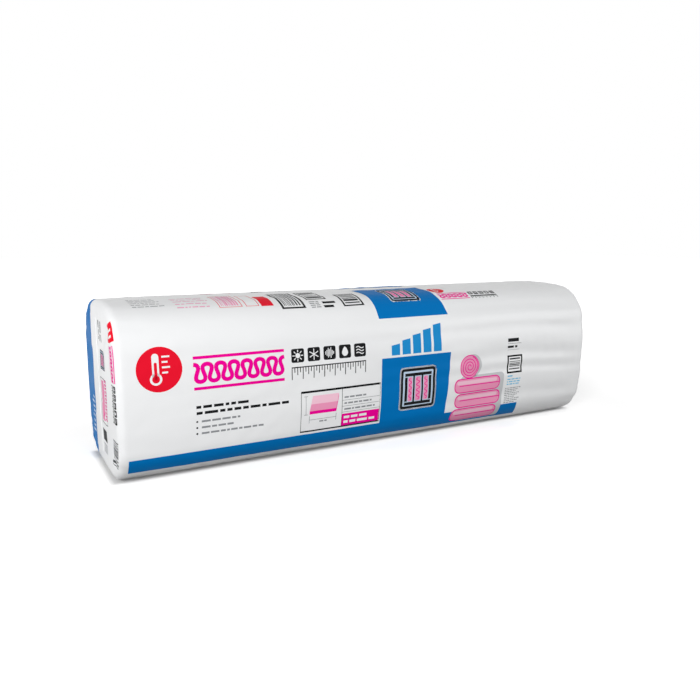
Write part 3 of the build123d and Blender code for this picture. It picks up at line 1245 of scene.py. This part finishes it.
def lamp(scene, name, power, size, place):
    """A soft round light that points at the bag."""
    made = bpy.data.objects.new(name, bpy.data.lights.new(name, "AREA"))
    made.data.shape = "DISK"
    made.data.size = size
    made.data.energy = power
    made.location = place
    aim = Vector(AIM) - made.location
    made.rotation_euler = aim.to_track_quat("-Z", "Y").to_euler()
    scene.collection.objects.link(made)


def camera(scene, lens):
    """The camera at the photograph's angle."""
    seer = bpy.data.objects.new("camera", bpy.data.cameras.new("camera"))
    seer.data.lens = lens
    seer.data.clip_start = CAMERA_NEAR
    seer.data.clip_end = CAMERA_FAR
    ahead = Vector((sin(YAW) * cos(PITCH), cos(YAW) * cos(PITCH), -sin(PITCH)))
    right = Vector((cos(YAW), -sin(YAW), 0))
    up = right.cross(ahead)
    tilted_right = cos(ROLL) * right + sin(ROLL) * up
    tilted_up = cos(ROLL) * up - sin(ROLL) * right
    turn = Matrix((tilted_right, tilted_up, -ahead)).transposed()
    seer.matrix_world = Matrix.Translation(CAMERA_PLACE) @ turn.to_4x4()
    scene.collection.objects.link(seer)
    scene.camera = seer


# Operators


SHARED = {}


class BAG_OT_film(bpy.types.Operator):
    """Builds the filled film bag"""

    bl_idname = "batt_bag.film"
    bl_label = "Film"

    def execute(self, context):
        settings = context.scene.batt_bag_film
        tube = tube_patch(settings)
        ends = {side: end_patch(side, settings) for side in (-1, 1)}
        material = white_film(tuple(settings.film_colour))
        SHARED.update(tube=tube, ends=ends, film=material)
        film = add_mesh("film_skin", *film_mesh(tube, ends), [material])
        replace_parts(carry(film), "film_bag")
        return {"FINISHED"}


class BAG_OT_seals(bpy.types.Operator):
    """Builds the weld across one end and the heat-sealed fin across the other"""

    bl_idname = "batt_bag.seals"
    bl_label = "Seals"

    def execute(self, context):
        settings = context.scene.batt_bag_film
        reach = settings.weld_width / MM / 2
        seal("end_weld", -1, -reach, reach, 6, settings)
        seal("end_fin", 1, -reach, settings.fin_width / MM - reach, 16, settings)
        return {"FINISHED"}


class BAG_OT_side_prints(bpy.types.Operator):
    """Prints the front and back panels"""

    bl_idname = "batt_bag.side_prints"
    bl_label = "Front and back prints"

    def execute(self, context):
        for name, mirrored in (("front_print", False), ("back_print", True)):
            ink = Print(SHARED["tube"], mirrored=mirrored)
            side_layout(ink)
            ink.piece(name, inks(context.scene.batt_bag_print))
        return {"FINISHED"}


class BAG_OT_top_print(bpy.types.Operator):
    """Prints the top panel and the band that runs over it"""

    bl_idname = "batt_bag.top_print"
    bl_label = "Top print"

    def execute(self, context):
        ink = Print(SHARED["tube"])
        for mirrored in (False, True):
            ink.mirrored = mirrored
            top_layout(ink)
        ink.piece("top_print", inks(context.scene.batt_bag_print))
        return {"FINISHED"}


class BAG_OT_end_prints(bpy.types.Operator):
    """Prints the made end's panel and its rim"""

    bl_idname = "batt_bag.end_prints"
    bl_label = "End prints"

    def execute(self, context):
        for name, patch, bend, layout in (
            ("end_print", SHARED["ends"][-1], None, end_layout),
            ("end_edge_print", SHARED["ends"][-1], on_end_by_rim, edge_column),
            ("rim_edge_print", SHARED["tube"], on_rim, edge_column),
            ("rim_tag_print", SHARED["tube"], on_rim, rim_tag),
            ("rim_print", SHARED["tube"], None, rim_layout),
        ):
            ink = Print(patch, bend)
            layout(ink)
            ink.piece(name, inks(context.scene.batt_bag_print))
        return {"FINISHED"}


class BAG_OT_batts(bpy.types.Operator):
    """Gives the folded batts inside the bag their paper and glass wool"""

    bl_idname = "batt_bag.batts"
    bl_label = "Batts"

    def execute(self, context):
        settings = context.scene.batt_bag_batts
        finishes = {"kraft_facing": kraft_paper(settings), "glass_wool": glass_wool(settings)}
        for name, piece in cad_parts.items():
            for start, material in finishes.items():
                if name.startswith(start):
                    for slot in piece.material_slots:
                        slot.material = material
        return {"FINISHED"}


class BAG_OT_stage(bpy.types.Operator):
    """Sets the floor, the lights and the camera"""

    bl_idname = "batt_bag.stage"
    bl_label = "Stage"

    def execute(self, context):
        scene = context.scene
        settings = scene.batt_bag_stage
        floor_sheet(settings.paper_colour)
        lamp(scene, "key_light", settings.key_power, settings.key_size, (-2.4, -2.3, 1.0))
        lamp(scene, "fill_light", settings.fill_power, settings.fill_size, (3.0, -2.9, 1.0))
        lamp(scene, "end_light", settings.end_power, settings.end_size, (-3.2, 0.3, 1.2))
        surroundings(scene, settings.sky_strength)
        camera(scene, settings.lens)
        scene.view_settings.view_transform = "Standard"
        return {"FINISHED"}


class BAG_PT_panel(bpy.types.Panel):
    """Lists the bag's operators and settings in the sidebar"""

    bl_idname = "BAG_PT_panel"
    bl_label = "Batt Bag"
    bl_space_type = "VIEW_3D"
    bl_region_type = "UI"
    bl_category = "Batt Bag"

    def draw(self, context):
        for operator in OPERATORS:
            self.layout.operator(operator.bl_idname)
        for name, group in SETTINGS.items():
            part = self.layout.box()
            for setting in group.__annotations__:
                part.prop(getattr(context.scene, name), setting)


OPERATORS = (
    BAG_OT_film, BAG_OT_seals, BAG_OT_side_prints, BAG_OT_top_print, BAG_OT_end_prints, BAG_OT_batts,
    BAG_OT_stage,
)
SETTINGS = {
    "batt_bag_film": FilmSettings,
    "batt_bag_print": PrintSettings,
    "batt_bag_batts": BattSettings,
    "batt_bag_stage": StageSettings,
}


def register():
    """Makes the settings, operators and panel known to Blender."""
    for made in (*SETTINGS.values(), *OPERATORS, BAG_PT_panel):
        bpy.utils.register_class(made)
    for name, group in SETTINGS.items():
        setattr(bpy.types.Scene, name, bpy.props.PointerProperty(type=group))


def unregister():
    """Takes them away again."""
    for name in SETTINGS:
        delattr(bpy.types.Scene, name)
    for made in (BAG_PT_panel, *reversed(OPERATORS), *SETTINGS.values()):
        bpy.utils.unregister_class(made)


def main():
    """Builds the bag and its stage, then works out the CAD's box and the finished one."""
    register()
    bpy.ops.batt_bag.film()
    bpy.ops.batt_bag.seals()
    bpy.ops.batt_bag.side_prints()
    bpy.ops.batt_bag.top_print()
    bpy.ops.batt_bag.end_prints()
    bpy.ops.batt_bag.batts()
    bpy.ops.batt_bag.stage()
    boxes = {"cad": cad_box, "visual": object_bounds()}
    {name: [list(corner) for corner in corners] for name, corners in boxes.items()}


if __name__ == "__main__":
    main()
